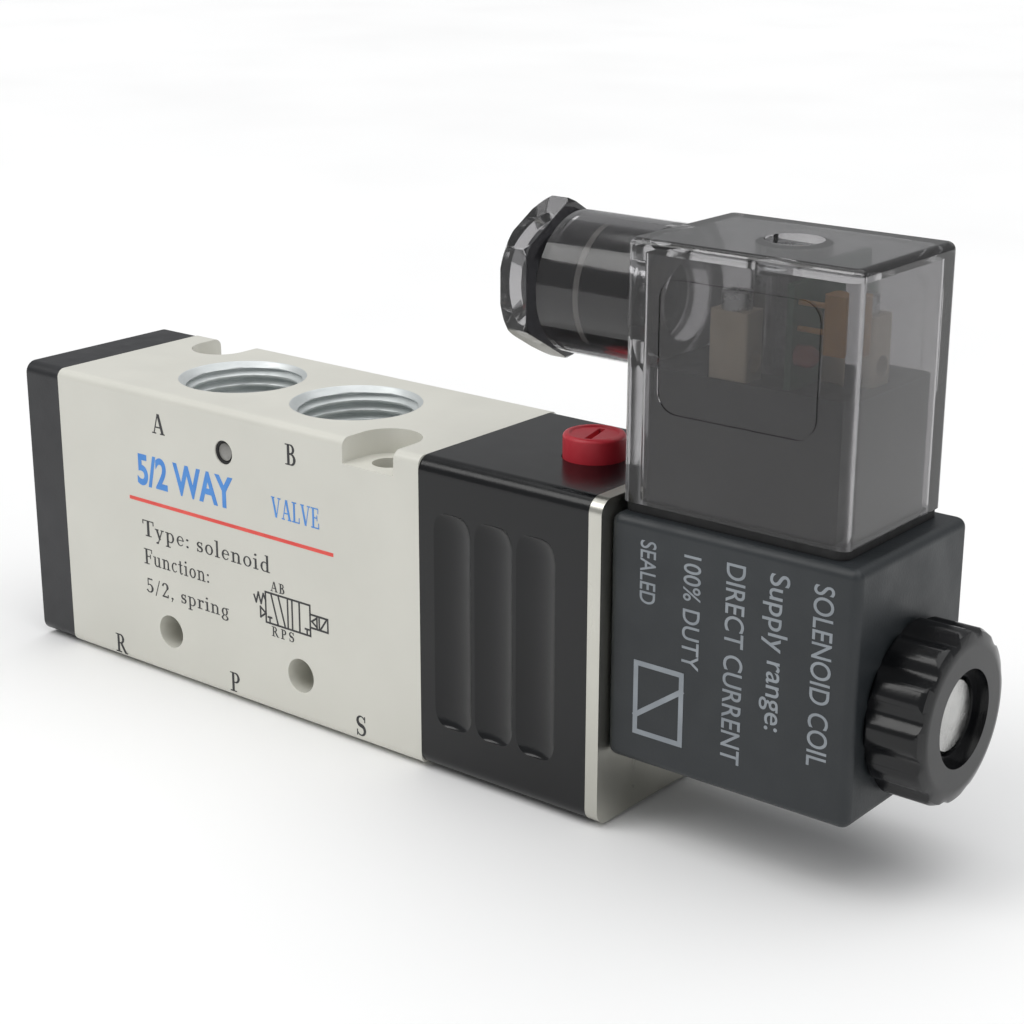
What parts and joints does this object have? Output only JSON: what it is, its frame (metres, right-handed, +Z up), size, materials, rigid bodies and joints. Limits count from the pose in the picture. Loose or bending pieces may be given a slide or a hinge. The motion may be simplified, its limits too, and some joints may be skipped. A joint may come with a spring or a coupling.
{
  "type": "solenoid directional valve",
  "caption": "Compact pneumatic solenoid directional valve: light block body with threaded ports, black pilot head, encapsulated coil, smoked plug connector and cable gland.",
  "frame": {"origin": "centre of the supply port on the bottom face of the valve body", "axes": "+X along the valve from the spring end cap to the coil nut; +Y from the printed front face to the back; +Z up, from the supply face to the work ports"},
  "size_m": [0.1387, 0.027, 0.0703],
  "materials": {
    "body_paint": "satin",
    "black_plastic": "satin",
    "coil_plastic": "satin",
    "smoke_plastic": "clear smoke",
    "red_plastic": "satin",
    "white_plastic": "satin",
    "tan_plastic": "satin",
    "led_plastic": "clear",
    "board": "satin",
    "nickel_steel": "plated",
    "screw_steel": "zinc plated",
    "spring_steel": "drawn wire",
    "stainless": "turned",
    "spool_alu": "anodised",
    "brass": "turned",
    "copper": "enamelled wire",
    "black_rubber": "matt",
    "tin": "tin plated"
  },
  "bodies": {
    "valve": {"valve_body": "body_paint", "pilot_gallery_plug": "screw_steel", "end_cap": "black_plastic", "end_cap_gasket": "black_rubber", "end_cap_screws": "screw_steel", "return_spring": "spring_steel", "pilot_housing": "black_plastic", "pilot_housing_gasket": "black_rubber", "pilot_nozzle": "brass", "override_spring": "spring_steel", "retaining_plate": "nickel_steel", "pilot_head_screws": "screw_steel", "armature_tube": "stainless", "tube_flange_oring": "black_rubber", "fixed_core": "stainless", "armature_spring": "spring_steel", "coil_bobbin": "white_plastic", "coil_winding": "copper", "coil_yoke": "nickel_steel", "coil_encapsulation": "coil_plastic", "coil_terminals": "tin", "coil_screw_insert": "brass", "coil_front_oring": "black_rubber", "coil_lock_washer": "spring_steel", "coil_nut": "black_plastic", "connector_gasket": "black_rubber", "connector_housing": "smoke_plastic", "terminal_block": "coil_plastic", "terminal_clamps": "tin", "terminal_screws": "screw_steel", "connector_screw": "screw_steel", "connector_screw_seal": "black_rubber", "led_board": "board", "status_led": "led_plastic", "surge_suppressor": "tan_plastic", "cable_grommet": "black_rubber", "gland_washer": "white_plastic", "gland_nut": "smoke_plastic"},
    "spool": {"spool": "spool_alu", "spool_seals": "black_rubber"},
    "piston": {"piston": "white_plastic", "piston_seal": "black_rubber"},
    "armature": {"armature": "stainless", "armature_seal": "black_rubber"},
    "override_stem_ring": {"override_oring": "black_rubber"},
    "override": {"override_button": "red_plastic"}
  },
  "joints": [
    {"name": "spool_shift", "type": "slide", "parent": "valve", "child": "spool", "axis": [-1, 0, 0], "range_m": [0, 0.005], "deforming": ["return_spring"]},
    {"name": "piston_push", "type": "slide", "parent": "valve", "child": "piston", "axis": [-1, 0, 0], "range_m": [0, 0.005]},
    {"name": "armature_lift", "type": "slide", "parent": "valve", "child": "armature", "axis": [1, 0, 0], "range_m": [0, 0.001], "deforming": ["armature_spring"]},
    {"name": "override_push", "type": "slide", "parent": "valve", "child": "override_stem_ring", "axis": [0, 0, -1], "range_m": [0, 0.002], "deforming": ["override_spring"]},
    {"name": "override_turn", "type": "hinge", "parent": "override_stem_ring", "child": "override", "pos_m": [0.049, 0, 0.04], "axis": [0, 0, -1], "range_deg": [0, 90]}
  ],
  "couplings": [
    {"joint": "piston_push", "follows": "spool_shift", "ratio": 1}
  ]
}
